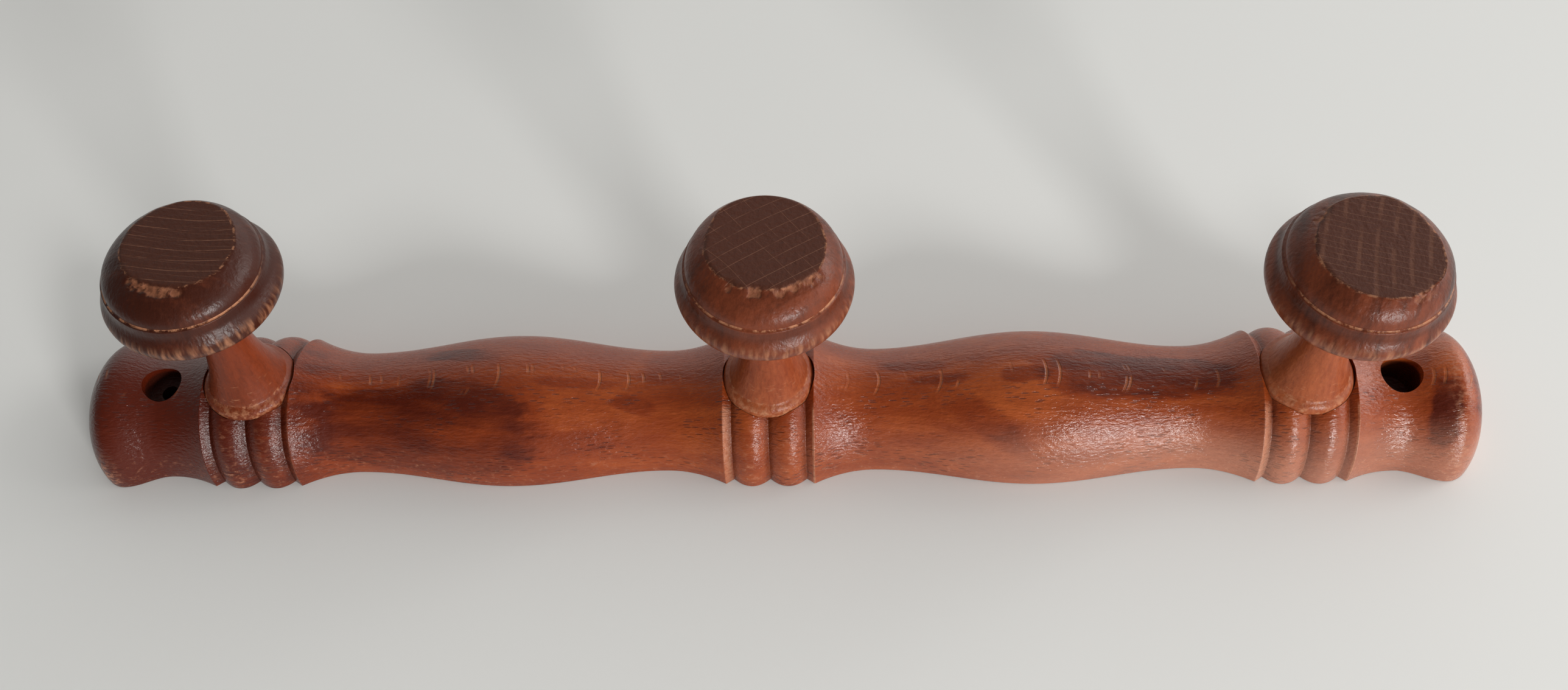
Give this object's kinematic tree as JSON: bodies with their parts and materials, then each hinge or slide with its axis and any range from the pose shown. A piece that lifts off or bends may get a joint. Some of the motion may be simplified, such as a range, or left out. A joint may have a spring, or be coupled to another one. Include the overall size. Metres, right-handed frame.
{
  "type": "mug peg rail",
  "caption": "Turned half-round wooden rail with mushroom pegs for hanging mugs, lying on its flat back, with counterbored screw holes at the ends.",
  "frame": {"origin": "middle of the rail's flat back, the face that goes against the wall", "axes": "+X along the rail towards peg_right, +Y across the rail, +Z out of the flat back along the pegs"},
  "size_m": [0.4182, 0.0511, 0.0862],
  "materials": {
    "rail_wood": "reddish-brown stained and varnished beech, satin to glossy, knocked and worn along the crests",
    "peg_wood": "dark reddish-brown stained and varnished beech, satin, scratched end grain on the flat tops, worn pale on the turned edges"
  },
  "bodies": {
    "root": {"rail": "rail_wood", "peg_left": "peg_wood", "peg_middle": "peg_wood", "peg_right": "peg_wood"}
  },
  "joints": []
}
